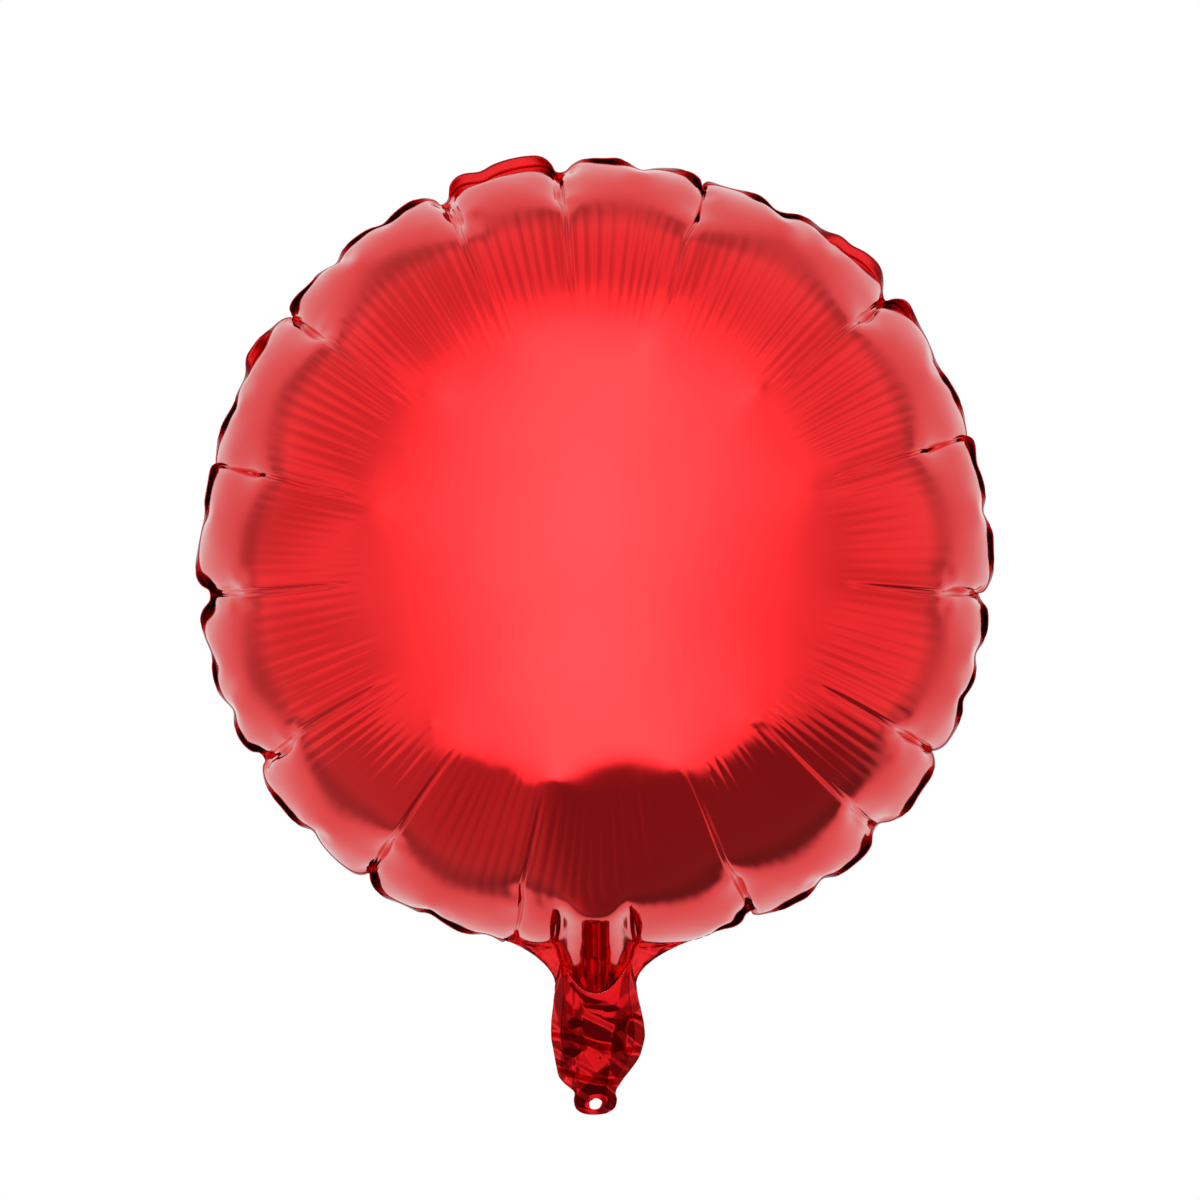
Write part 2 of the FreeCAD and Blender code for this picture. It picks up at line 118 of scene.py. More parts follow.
def cut_pattern():
    """The flat films: points, faces, their groups, the seam's steps, the band's outer steps,
    the neck's shared edge, and each panel's rings and neck grid."""
    points, faces, groups = [], [], []

    def point(x, z):
        points.append((x, 0.0, z))
        return len(points) - 1

    def face(corners, group):
        faces.append(tuple(corners) if group != BACK else tuple(reversed(corners)))
        groups.append(group)

    def on_step(m, radius):
        x, z = step_direction(m)
        return point(radius * x, radius * z)

    neck = list(range(BOTTOM - NECK_STEPS, BOTTOM + NECK_STEPS + 1))
    radii = np.linspace(CORE_SHARE * FLAT_RADIUS, FLAT_RADIUS, RINGS + 1)
    seam = {m: on_step(m, FLAT_RADIUS) for m in range(AROUND) if m not in neck[1:-1]}
    neck_x = [FLAT_RADIUS * step_direction(m)[0] for m in neck]
    neck_z = [FLAT_RADIUS * step_direction(m)[1] for m in neck]
    lengths = [
        POCKET_SIDE + (POCKET_MIDDLE - POCKET_SIDE) * (1 - (c / NECK_STEPS) ** 2)
        for c in range(-NECK_STEPS, NECK_STEPS + 1)
    ]

    def neck_point(c, j):
        return point(neck_x[c], neck_z[c] - lengths[c] * j / POCKET_ROWS)

    edge = {
        (c, j): neck_point(c, j)
        for c in range(len(neck))
        for j in range(1, POCKET_ROWS + 1)
        if c in (0, len(neck) - 1) or j == POCKET_ROWS
    }
    n = AROUND // 8
    layers = {}
    for group in (FRONT, BACK):
        core = {}
        for i in range(n + 1):
            for j in range(n + 1):
                core[i, j] = point(*core_point(-1 + 2 * i / n, -1 + 2 * j / n, radii[0]))
        for i in range(n):
            for j in range(n):
                face((core[i, j], core[i + 1, j], core[i + 1, j + 1], core[i, j + 1]), group)
        inner = [core[i, 0] for i in range(n)] + [core[n, j] for j in range(n)]
        inner += [core[n - i, n] for i in range(n)] + [core[0, n - j] for j in range(n)]
        rings = [[on_step(m, r) for m in range(AROUND)] for r in radii[1:-1]]
        rings.append([seam[m] if m in seam else on_step(m, FLAT_RADIUS) for m in range(AROUND)])
        for i in range(AROUND // 2):
            a, b = inner[i], inner[(i + 1) % (AROUND // 2)]
            p, q, r = (rings[0][(2 * i + k) % AROUND] for k in range(3))
            face((a, p, q), group)
            face((a, q, r, b), group)
        for near, far in zip(rings, rings[1:]):
            for i in range(AROUND):
                j = (i + 1) % AROUND
                face((near[i], far[i], far[j], near[j]), group)
        grid = {(c, 0): rings[-1][m] for c, m in enumerate(neck)}
        for c in range(len(neck)):
            for j in range(1, POCKET_ROWS + 1):
                grid[c, j] = edge[c, j] if (c, j) in edge else neck_point(c, j)
        layers[group] = (rings, grid)
        for c in range(len(neck) - 1):
            for j in range(POCKET_ROWS):
                face((grid[c, j], grid[c, j + 1], grid[c + 1, j + 1], grid[c + 1, j]), group)
    outer = {m: on_step(m, FLAT_RADIUS + WELD) for m in range(AROUND) if m not in neck[1:-1]}
    for i in range(AROUND):
        j = (i + 1) % AROUND
        if i not in neck[:-1]:
            face((seam[i], outer[i], outer[j], seam[j]), RIM_BAND)
    return np.array(points), faces, groups, seam, outer, edge, layers


def inflate(flat, faces, groups):
    """Fills the flat cut with gas: Blender's cloth, pressed from inside, with no weight,
    from nearly flat until it is still."""
    scale = 10.0  # cloth settles better at this size
    rest = flat * scale
    front, back = np.zeros(len(flat), bool), np.zeros(len(flat), bool)
    for corners, group in zip(faces, groups):
        if group == FRONT:
            front[list(corners)] = True
        elif group == BACK:
            back[list(corners)] = True
    side = np.where(front & ~back, -1.0, np.where(back & ~front, 1.0, 0.0))
    away = np.hypot(flat[:, 0], flat[:, 2]) / FLAT_RADIUS
    clockwise = np.degrees(np.arctan2(flat[:, 0], flat[:, 2]))
    pull = np.zeros(len(flat))
    for crease in CREASES:
        pull = np.maximum(pull, np.exp(-((((clockwise - crease + 180) % 360 - 180) / SEED_WIDTH) ** 2)))
    start = rest.copy()
    near_rim = np.clip((away - 0.8) / 0.2, 0, 1) ** 1.5
    start[:, [0, 2]] *= (1 - SEED_DEPTH / FLAT_RADIUS * pull * near_rim)[:, None]
    noise = np.random.default_rng(11).standard_normal(len(flat)) * 0.0002 * scale
    dome, apart = 0.02, 0.004  # how far the films start from the middle, at the cloth's size
    start[:, 1] = side * dome * (1 - np.minimum(away, 1) ** 2) + side * apart * (away > 0.99)
    start[:, 1] += noise * (away > 0.3)
    mesh = bpy.data.meshes.new("cut")
    mesh.from_pydata(rest.tolist(), [], faces)
    mesh.vertices.foreach_set("co", start.ravel())
    film = bpy.data.objects.new("cut", mesh)
    scene = bpy.context.scene
    scene.collection.objects.link(film)
    film.shape_key_add(name="Basis")
    key = film.shape_key_add(name="flat")
    key.data.foreach_set("co", rest.ravel())
    key.value = 0
    modifier = film.modifiers.new("gas", "CLOTH")
    cloth = modifier.settings
    cloth.rest_shape_key = key
    cloth.quality, cloth.mass = 6, 0.1
    cloth.tension_stiffness = cloth.compression_stiffness = 40
    cloth.shear_stiffness, cloth.bending_stiffness = 15, 0.02
    cloth.tension_damping = cloth.compression_damping = cloth.shear_damping = 1
    cloth.bending_damping, cloth.air_damping = 0.5, 1
    cloth.use_pressure, cloth.uniform_pressure_force = True, 8
    cloth.effector_weights.gravity = 0
    modifier.collision_settings.use_collision = False
    modifier.collision_settings.use_self_collision = False
    frames = 60
    scene.frame_start, scene.frame_end = 1, frames
    modifier.point_cache.frame_start, modifier.point_cache.frame_end = 1, frames
    for f in range(1, frames + 1):
        scene.frame_set(f)
    settled = film.evaluated_get(bpy.context.evaluated_depsgraph_get())
    out = np.zeros(len(flat) * 3)
    settled.data.vertices.foreach_get("co", out)
    bpy.data.objects.remove(film)
    return out.reshape(-1, 3) / scale


def level(settled, flat, steps):
    """Turns and shifts the settled film back, because nothing held it: its rim lies as the
    flat cut's rim does."""
    now, cut = settled[steps], flat[steps]
    u, _, v = np.linalg.svd((now - now.mean(0)).T @ (cut - cut.mean(0)))
    turn = (u @ np.diag([1, 1, np.sign(np.linalg.det(u @ v))]) @ v).T
    return (settled - now.mean(0)) @ turn.T + np.array([0, 0, cut.mean(0)[2] * MYLAR_RATIO])


EVEN_STEPS = 4.0  # the ripples are evened out over about this many steps
DRAWN_TO, DRAWN_FADE = 0.66, 0.20  # shares of the radius: even out to here, and less over this much more
NOTCH_FROM, NOTCH_FADE, NOTCH_LEFT = 0.78, 0.12, 0.5  # the same for the notches, and how much stays


def draw_tight(place, layers, outer):
    """Evens out the cloth's own small ripples on the inner rings, where the gas draws the
    film tight, and halves the notches of the creases at the rim."""
    reach = np.arange(-12, 13)
    weight = np.exp(-((reach / EVEN_STEPS) ** 2))
    weight /= weight.sum()
    radii = np.linspace(CORE_SHARE * FLAT_RADIUS, FLAT_RADIUS, RINGS + 1)[1:]
    done = {}
    for rings, _ in layers.values():
        for ring, r in zip(rings, radii):
            ring = np.array(ring)
            x, y, z = place[ring].T
            away, turn = np.hypot(x, z), np.unwrap(np.arctan2(z, x))
            drift = turn - np.linspace(turn[0], turn[0] + 2 * math.pi, AROUND, endpoint=False)
            keep = float(smooth((r / FLAT_RADIUS - DRAWN_TO) / DRAWN_FADE))
            spread = [
                keep * v + (1 - keep) * sum(w * np.roll(v, int(k)) for k, w in zip(reach, weight))
                for v in (away, y, drift)
            ]
            away, y, turn = spread[0], spread[1], spread[2] + (turn - drift)
            usual = np.median(away)
            shallow = 1 - (1 - NOTCH_LEFT) * float(smooth((r / FLAT_RADIUS - NOTCH_FROM) / NOTCH_FADE))
            away = np.where(away < usual, usual + (away - usual) * shallow, away)
            for k, index in enumerate(ring):
                spot = (away[k] * math.cos(turn[k]), y[k], away[k] * math.sin(turn[k]))
                done.setdefault(int(index), []).append(spot)
    for index, spots in done.items():
        place[index] = np.mean(spots, axis=0)
    edge = np.array(list(outer.values()))
    away = np.hypot(place[edge, 0], place[edge, 2])
    usual = np.median(away)
    short = np.where(away < usual, usual + (away - usual) * NOTCH_LEFT, away) / away
    place[edge, 0] *= short
    place[edge, 2] *= short
    return place


# stretches of the band that stand straight out, in degrees clockwise from the top
WIDE_PETALS = ((-22.0, -7.0), (34.0, 45.5), (49.5, 54.0), (-62.0, -56.0), (118.0, 121.0))
PETAL_STEP = 6.1  # degrees from one small petal to the next
PETAL_LEAN, PETAL_SWAY = 58, 26  # degrees that the band lies over at a petal, and how much more between


def petals(place, seam, outer):
    """The welded band is longer than the circle that it closes on, so it ripples: it stands
    out in small petals, and lies over between them."""
    for m, index in outer.items():
        turn = math.degrees(math.atan2(*step_direction(m)))
        uneven = 0.35 * math.sin(math.radians(turn) * 7 + 1) + 0.2 * math.sin(math.radians(turn) * 17)
        sway = turn / PETAL_STEP + uneven
        over = PETAL_LEAN + PETAL_SWAY * abs(math.sin(math.pi * sway)) ** 0.5
        for begin, end in WIDE_PETALS:
            inside = min((turn - begin) % 360, (end - turn) % 360)
            if (turn - begin) % 360 < (end - begin) % 360:
                over *= 1 - float(smooth(inside / 3.0))
        over = math.radians(over) * (1 if math.floor(sway) % 2 else -1)
        x, y, z = place[seam[m]]
        away = math.hypot(x, z)
        out = away + WELD * math.cos(over)
        place[index] = (x / away * out, y + WELD * math.sin(over), z / away * out)
    return place


CORNER_X, CORNER_Z = 0.0170, -0.1695  # the neck's corner, from the balloon's middle
SMILE_X, SMILE_SIDE, SMILE_LOW = 0.0152, -0.1775, -0.1922  # the lower edge of the gas-filled neck
NECK_FROM, NECK_GROWS = 8, 5  # the first ring that the neck draws down, and over how many more it grows
NECK_REACH, NECK_FADES = 12, 7  # steps each side that it draws in, and over how many it fades out

# The channel runs level with the lobes to its shoulder, then falls into the neck.
# Heights are how far below the balloon's middle.
CHANNEL_RING = 0.135  # the channel begins at the first ring beyond this radius
CHANNEL_TOP, CHANNEL_HALF = 0.140, 0.0155  # where it takes its own shape, and its half width there
TUBE_TOP, TUBE_GROWS = 0.145, 0.020  # where its section turns round, and over what length
SHOULDER, CHANNEL_SLOPE = 0.155, 0.74
# height, and the share of the channel's depth that is left there
CHANNEL = ((SHOULDER, 1.0), (0.1600, 0.82), (0.1665, 0.60), (0.1750, 0.355), (0.1850, 0.14), (0.1922, 0.0))
PINCH = 0.74  # how much of a step the crease's neighbours come closer to it


def pinched(off):
    """The steps beside the neck's crease lie close to it, so that the crease is sharp."""
    past = off - NECK_STEPS
    if not past:
        return float(off)
    return NECK_STEPS + past - math.copysign(PINCH * math.exp(-(abs(past) - 1) / 1.2), past)


def shape_neck(place, layers):
    """The neck's channel: the film runs from the belly down into the neck between two sharp
    creases, and ends in a rounded edge."""
    for group, (rings, grid) in layers.items():
        side = -1.0 if group == FRONT else 1.0
        usual = []
        for ring in rings:
            away, y = np.hypot(*place[ring][:, [0, 2]].T), np.abs(place[ring][:, 1])
            usual.append((float(np.median(away)), float(np.median(y))))
        usual[-1] = (usual[-1][0], 0.0)
        last = RINGS - 1
        for k in range(NECK_FROM, RINGS):
            grow = float(smooth((k - NECK_FROM) / NECK_GROWS))
            for m in range(BOTTOM - NECK_REACH, BOTTOM + NECK_REACH + 1):
                off, way = abs(m - BOTTOM), math.copysign(1, m - BOTTOM)
                away, y = usual[k]
                x, z = step_direction(BOTTOM + way * (off + (pinched(off) - off) * grow))
                w = (1 - float(smooth((off - NECK_STEPS - 1) / NECK_FADES))) * grow
                if off == NECK_STEPS:
                    y *= 1 - 0.12 * grow * (k / last) ** 3
                    away *= 1 - 0.010 * grow
                goal = np.array([away * x, side * y, away * z])
                if off == NECK_STEPS and k == last:
                    goal = np.array([way * CORNER_X, 0.0, CORNER_Z])
                place[rings[k][m]] = goal * w + place[rings[k][m]] * (1 - w)
        below = [c[0] for c in CHANNEL]
        stands = [c[1] for c in CHANNEL]
        begin = next(k for k in range(RINGS) if usual[k][0] > CHANNEL_RING)
        for c in range(2 * NECK_STEPS + 1):
            across = c - NECK_STEPS
            m = BOTTOM + across
            if abs(across) == NECK_STEPS:
                corner = place[rings[-1][m]]
                end = np.array([math.copysign(SMILE_X, across), 0.0, SMILE_SIDE])
                for j in range(1, POCKET_ROWS + 1):
                    place[grid[c, j]] = corner + (end - corner) * j / POCKET_ROWS
                continue
            share = math.copysign(pinched(abs(across)) / NECK_STEPS, across)
            column = [rings[k][m] for k in range(begin, RINGS)]
            column += [grid[c, j] for j in range(1, POCKET_ROWS + 1)]
            first = place[column[0]].copy()
            end_drop = -(SMILE_LOW + (SMILE_SIDE - SMILE_LOW) * abs(share) ** 2.2)
            for n, index in enumerate(column[1:], 1):
                t = n / (len(column) - 1)
                # the rows lie closest together where the channel turns over its shoulder
                drop = float(np.interp(t, (0.0, 0.30, 0.38, 1.0), (-first[2], 0.1530, 0.1568, end_drop)))
                heights = (CHANNEL_TOP, -CORNER_Z, -SMILE_SIDE)
                wide = float(np.interp(drop, heights, (CHANNEL_HALF, CORNER_X, SMILE_X)))
                even, past = drop, drop - CHANNEL_TOP
                if past > 0:
                    even = CHANNEL_TOP + past * (-SMILE_LOW - CHANNEL_TOP) / (end_drop - CHANNEL_TOP)
                tube = float(smooth((drop - TUBE_TOP) / TUBE_GROWS))
                out = abs(first[1]) - (min(even, SHOULDER) + first[2]) * CHANNEL_SLOPE
                out *= float(np.interp(even, below, stands))
                out *= 1 - tube * (1 - (1 - abs(0.94 * share) ** 5) ** 0.55)
                spot = np.array([wide * share, side * out, -drop])
                w = float(smooth((drop + first[2]) / 0.012))
                place[index] = spot * w + place[index] * (1 - w)
    return place


def curve(a, b, c, d, t):
    """A point of the smooth curve from a to d, which leaves towards b and arrives from c."""
    a, b, c, d = (np.array(p, float) for p in (a, b, c, d))
    return a * (1 - t) ** 3 + 3 * b * t * (1 - t) ** 2 + 3 * c * t * t * (1 - t) + d * t**3


def smooth(t):
    t = np.clip(t, 0, 1)
    return t * t * (3 - 2 * t)


flat, faces, groups, seam, outer, neck_edge, layers = cut_pattern()
settled = level(inflate(flat, faces, groups), flat, list(seam.values()))
place = shape_neck(draw_tight(settled, layers, outer) * FULL, layers)
place = petals(place, seam, outer) + np.array([0, 0, CENTRE_Z])

# ---- the tail and tab, drawn down from the neck's edge ----
TAIL_TOP, TAIL_END = 0.053, 0.007
TAIL_ROWS = 12
# height of a step of the tail's outline, and how far its left and right edges stand from the middle
OUTLINE = (
    (0.0535, -0.0176, 0.0178),
    (0.0480, -0.0180, 0.0185),
    (0.0374, -0.0194, 0.0211),
    (0.0300, -0.0196, 0.0220),
    (0.0216, -0.0180, 0.0198),
    (0.0163, -0.0172, 0.0163),
    (0.0110, -0.0158, 0.0123),
    (0.0084, -0.0141, 0.0101),
    (0.0070, -0.0104, 0.0094),
)


def outline(z):
    """The tail's left and right edge at height z."""
    heights = [row[0] for row in OUTLINE][::-1]
    return tuple(float(np.interp(z, heights, [row[k] for row in OUTLINE][::-1])) for k in (1, 2))


points, cuts = place.tolist(), flat.tolist()
faces, groups = list(faces), list(groups)


def add_point(co, cut):
    points.append(list(co))
    cuts.append(list(cut))
    return len(points) - 1


def drop_web_steps():
    """The rim's band stops at the webs, so its faces between them and the neck go."""
    webs = [m for m in range(WEB_LEFT, WEB_RIGHT) if m in seam and m + 1 in seam]
    kept = []
    for corners, group in zip(faces, groups):
        if group == RIM_BAND and any(seam[m] in corners and seam[m + 1] in corners for m in webs):
            continue
        kept.append((corners, group))
    return [k[0] for k in kept], [k[1] for k in kept]


faces, groups = drop_web_steps()


def web(tip, way, column):
    """The weld from the rim's step tip round the corner to the neck's lower edge. Returns
    the last point of its outer edge."""
    last = BOTTOM + way * NECK_STEPS
    inner = [seam[m] for m in range(tip, last, -way)] + [seam[last]]
    inner += [neck_edge[column, j] for j in range(1, POCKET_ROWS + 1)]
    side, down = step_direction(tip)
    reach_out = RIM_RADIUS + WELD
    points[outer[tip]] = [side * reach_out, points[seam[tip]][1], down * reach_out + CENTRE_Z]
    start = np.array(points[outer[tip]])
    along = np.array([-down * way, 0, side * way]) * -1
    end_z = min(points[inner[-1]][2], TAIL_TOP)
    end = np.array([outline(end_z)[0 if way < 0 else 1], points[inner[-1]][1], end_z])
    reach = np.linalg.norm(end - start)
    chain = [outer[tip]]
    for k in range(1, len(inner)):
        t = k / (len(inner) - 1)
        co = curve(start, start + along * reach * 0.3, end + np.array([0, 0, reach * 0.25]), end, t)
        co[1] = (1 - t) * co[1] + t * points[inner[k]][1]
        x, _, z = cuts[inner[k]]
        chain.append(add_point(co, (x + 0.005 * way, 0, z - 0.002)))
    for k in range(len(inner) - 1):
        quad = (inner[k], inner[k + 1], chain[k + 1], chain[k])
        faces.append(quad if way < 0 else tuple(reversed(quad)))
        groups.append(RIM_BAND)
    return chain[-1]


left_outer = web(WEB_LEFT, -1, 0)
right_outer = web(WEB_RIGHT, 1, 2 * NECK_STEPS)
top_row = [left_outer] + [neck_edge[c, POCKET_ROWS] for c in range(2 * NECK_STEPS + 1)] + [right_outer]
rows = [top_row]
for r in range(1, TAIL_ROWS + 1):
    t = r / TAIL_ROWS
    row = []
    for c, top in enumerate(top_row):
        tx, ty, tz = points[top]
        z = tz + (TAIL_END - tz) * t
        left, right = outline(z)
        inset = 0.0045 * (0.35 + 0.65 * min(1.0, (right - left) / 0.036))
        if c == 0:
            x = left
        elif c == len(top_row) - 1:
            x = right
        else:
            share = (c - 1) / (len(top_row) - 3)
            x = (left + inset) + (right - left - 2 * inset) * share
            blend = max(0.0, 1 - 2.5 * t) ** 2
            x = x * (1 - blend) + (tx + (x - tx) * 0.2) * blend
        y = ty * math.exp(-(tz - z) / 0.007)
        fz = cuts[top][2]
        row.append(add_point((x, y, z), (x, 0, fz - (tz - z))))
    rows.append(row)
for upper, lower in zip(rows, rows[1:]):
    for c in range(len(top_row) - 1):
        faces.append((upper[c], lower[c], lower[c + 1], upper[c + 1]))
        groups.append(TAIL_BAND if c in (0, len(top_row) - 2) else TAIL_FILM)

# the tab: a ring of film from its outline to the tie hole
HOLE_RADIUS = 0.0026
TAB_CUT = 0.2  # the tab's place in the flat cut is this much lower
tab_low, tab_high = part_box("tab_weld")
corner = 0.0062
loop = list(rows[-1])
down_steps, across_steps = 4, len(loop) - 1
drop, half = tab_low.z, tab_high.x


def tab_outline():
    """The tab's edge from the right end of the tail's last row: in to a waist, out and round
    the bottom, and up to its left end."""
    path = []
    shoulder = drop + corner
    for k in range(1, down_steps + 1):
        t = k / down_steps
        waist = 1 - 0.07 * math.sin(math.pi * min(1.0, t * 1.3))
        path.append((half * waist, TAIL_END + (shoulder - TAIL_END) * t))
    for k in range(1, across_steps):
        turn = math.pi * k / across_steps
        side = math.copysign(abs(math.cos(turn)) ** 0.85, math.cos(turn))
        path.append((half * side, shoulder - corner * math.sin(turn) ** 0.8))
    for k in range(down_steps, 0, -1):
        t = k / down_steps
        waist = 1 - 0.05 * math.sin(math.pi * min(1.0, t * 1.3))
        path.append((-half * waist, TAIL_END + (shoulder - TAIL_END) * t))
    return path


loop += [add_point((x, 0, z), (x, 0, z - TAB_CUT)) for x, z in tab_outline()]
hole = []
for k in loop:
    x, _, z = points[k]
    turn = math.atan2(z, x)
    r = HOLE_RADIUS * (1 + 0.10 * math.sin(2 * turn + 0.6) + 0.05 * math.sin(5 * turn))
    hole.append((r * math.cos(turn), r * math.sin(turn)))
ring_before = loop
for k in range(1, 4):
    t = k / 3
    ring = []
    for i, outer_point in enumerate(loop):
        x, y, z = points[outer_point]
        hx, hz = hole[i]
        ring.append(add_point((x + (hx - x) * t, y * (1 - t), z + (hz - z) * t), (x, 0, z - TAB_CUT)))
    for i in range(len(loop)):
        j = (i + 1) % len(loop)
        faces.append((ring_before[i], ring[i], ring[j], ring_before[j]))
        groups.append(TAB)
    ring_before = ring


def finer(co, levels=2):
    """The whole film with each face divided, so that its curves are smooth. Returns points,
    faces and groups."""
    mesh = bpy.data.meshes.new("whole")
    mesh.from_pydata(np.array(co).tolist(), [], faces)
    mesh.polygons.foreach_set("material_index", groups)
    whole = bpy.data.objects.new("whole", mesh)
    bpy.context.scene.collection.objects.link(whole)
    divide = whole.modifiers.new("divide", "SUBSURF")
    divide.levels = divide.render_levels = levels
    bpy.context.view_layer.update()
    made = whole.evaluated_get(bpy.context.evaluated_depsgraph_get()).to_mesh()
    out = np.zeros(len(made.vertices) * 3)
    made.vertices.foreach_get("co", out)
    quads = np.zeros(len(made.loops), int)
    made.loops.foreach_get("vertex_index", quads)
    kind = np.zeros(len(made.polygons), int)
    made.polygons.foreach_get("material_index", kind)
    bpy.data.objects.remove(whole)
    return out.reshape(-1, 3), quads.reshape(-1, 4), kind


co, quads, kind = finer(points)
cut, _, _ = finer(cuts)


def normals_of(co, quads):
    """The outward direction at each point, from the faces round it."""
    a, b, c, d = (co[quads[:, k]] for k in range(4))
    across = np.cross(c - a, d - b)
    total = np.zeros_like(co)
    for k in range(4):
        np.add.at(total, quads[:, k], across)
    return total / np.maximum(np.linalg.norm(total, axis=1), 1e-12)[:, None]


# ---- the fine pleats round each panel, and the sharp line in each crease ----
PLEAT_WIDTHS = (1.5, 2.6)  # degrees
PLEAT_STARTS = (0.52, 0.66)  # shares of the rim's radius
PLEAT_HEIGHT = 0.055  # share of a pleat's width
CREASE_DEPTH, CREASE_HALF = 0.0022, 0.6  # metres, and degrees each side


def pleats(co, cut):
    """How far each point of a panel stands out (+) or in (-) along its normal."""
    clockwise = np.degrees(np.arctan2(cut[:, 0], cut[:, 2])) % 360
    radius = np.hypot(co[:, 0], co[:, 2] - CENTRE_Z) / RIM_RADIUS
    rng = np.random.default_rng(5)
    steps = []
    turn = 0.0
    while turn < 360:
        steps.append(turn)
        turn += rng.uniform(*PLEAT_WIDTHS)
    steps = np.array(steps) * 360 / turn
    index = np.searchsorted(steps, clockwise, side="right") - 1
    ends = np.append(steps, 360.0)
    share = (clockwise - ends[index]) / (ends[index + 1] - ends[index])
    width = np.radians(ends[index + 1] - ends[index]) * radius * RIM_RADIUS
    begins = rng.uniform(*PLEAT_STARTS, len(steps))[index]
    strength = rng.uniform(0.5, 1.0, len(steps))[index]
    # neighbouring pleats start at different radii, so the strength is even only at a pleat's valleys
    crest = np.sin(np.pi * share) ** 0.8 - 0.62
    grow = smooth((radius - begins) / 0.10) * (1 - smooth((radius - 0.86) / 0.07))
    sides = 0.35 + 0.65 * smooth(np.abs(np.cos(np.radians(clockwise))) / 0.55)
    bend = width * PLEAT_HEIGHT * strength * crest * grow * sides
    for crease in CREASES:
        off = np.abs((clockwise - crease + 180) % 360 - 180)
        deep = smooth((radius - 0.60) / 0.25)
        bend -= CREASE_DEPTH * np.maximum(0, 1 - off / CREASE_HALF) * deep
    return bend


for group in (FRONT, BACK):
    mine = quads[kind == group]
    used = np.unique(mine)
    seam_points = np.intersect1d(used, np.unique(quads[kind != group]))
    normals = normals_of(co, mine)
    bend = pleats(co[used], cut[used])
    fixed = np.isin(used, seam_points)
    bend[fixed] = 0
    co[used] += normals[used] * bend[:, None]



# ---- the tail's crumples ----
def halve(co, cut, quads, kind, groups):
    """Divides the faces of some groups in four, without moving anything."""
    mine = np.isin(kind, groups)
    corners = quads[mine]
    sides = np.sort(np.stack([corners, np.roll(corners, -1, axis=1)], axis=2).reshape(-1, 2), axis=1)
    ends, side = np.unique(sides, axis=0, return_inverse=True)
    side = side.reshape(-1, 4) + len(co)
    centre = np.arange(len(corners)) + len(co) + len(ends)
    new = [np.stack([corners[:, k], side[:, k], centre, side[:, k - 1]], axis=1) for k in range(4)]
    more = [np.concatenate([v, v[ends].mean(1), v[corners].mean(1)]) for v in (co, cut)]
    kinds = np.concatenate([kind[~mine], np.tile(kind[mine], 4)])
    return more[0], more[1], np.concatenate([quads[~mine], *new]), kinds


co, cut, quads, kind = halve(co, cut, quads, kind, (TAIL_FILM, TAIL_BAND, TAB))
tail_points = np.unique(quads[np.isin(kind, (TAIL_FILM, TAIL_BAND, TAB))])
panel_points = np.unique(quads[np.isin(kind, (FRONT, BACK, RIM_BAND))])
rng = np.random.default_rng(21)
tx, tz = co[tail_points, 0], co[tail_points, 2]


def fold(size, height, turn, shift, lean, wander):
    """Folds size apart and height deep, across the direction turn; lean is where the ridge
    stands between two valleys, and wander how far each fold sways."""
    along = (tx * math.cos(turn) + tz * math.sin(turn)) / size + shift
    beside = (tx * math.sin(turn) - tz * math.cos(turn)) / size
    along = (along + wander * np.sin(beside * 2.2 + shift * 5)) % 1
    return height * (np.where(along < lean, along / lean, (1 - along) / (1 - lean)) * 2 - 1)


# 26 straight folds, each across the whole tail, as in film that a hand has crushed and let go
facets = np.zeros(len(tail_points))
for k in range(26):
    turn = rng.uniform(0, math.pi)
    through_x, through_z = rng.uniform(-0.016, 0.016), rng.uniform(0.004, 0.044)
    slope = rng.uniform(0.10, 0.26) * (1 if k % 2 else -1)
    facets += slope * np.abs((tx - through_x) * math.cos(turn) + (tz - through_z) * math.sin(turn))
plane = np.stack([np.ones(len(tx)), tx, tz, tz * tz], axis=1)
facets -= plane @ np.linalg.lstsq(plane, facets, rcond=None)[0]
rough = 1 - smooth((tz - 0.0375) / 0.006)
crumple = np.clip(facets * (0.75 + 0.25 * rough), -0.0030, 0.0030)
long_folds = fold(0.0150, 0.0014, math.radians(80), 0.35, 0.20, 0.06)
short_folds = fold(0.0105, 0.0006, math.radians(58), 0.10, 0.22, 0.05)
crumple += (long_folds + short_folds) * rough
top_z = np.interp(tx, [co[p, 0] for p in top_row], [co[p, 2] for p in top_row])
calm = smooth((top_z - tz) / 0.005)
near_hole = smooth((np.hypot(tx, tz) - HOLE_RADIUS) / 0.004)
crumple *= calm * (0.25 + 0.75 * near_hole)
crumple[np.isin(tail_points, panel_points)] = 0
co[tail_points, 1] += crumple

# the webs beside the neck are slack too, with short sharp folds
web_points = np.setdiff1d(np.unique(quads[kind == RIM_BAND]), np.unique(quads[kind != RIM_BAND]))
web_points = web_points[co[web_points, 2] < CENTRE_Z - RIM_RADIUS * 0.972]
wx, wz = co[web_points, 0], co[web_points, 2]
zigzag = np.abs(((np.abs(wx) * 0.75 - wz * 0.65) / 0.0052) % 1 - 0.5) * 2 - 0.5
zigzag += 0.6 * (np.abs(((np.abs(wx) * 0.3 + wz * 0.95) / 0.0071) % 1 - 0.5) * 2 - 0.5)
co[web_points, 1] += 0.0013 * zigzag


INLET_RADIUS, INLET_Z = 0.003, 0.0225  # the hole that the gas goes in by, in the back films


def off_inlet(points):
    """How far points are from the inlet's middle, in the tail's plane."""
    return np.hypot(points[:, 0], points[:, 2] - INLET_Z)


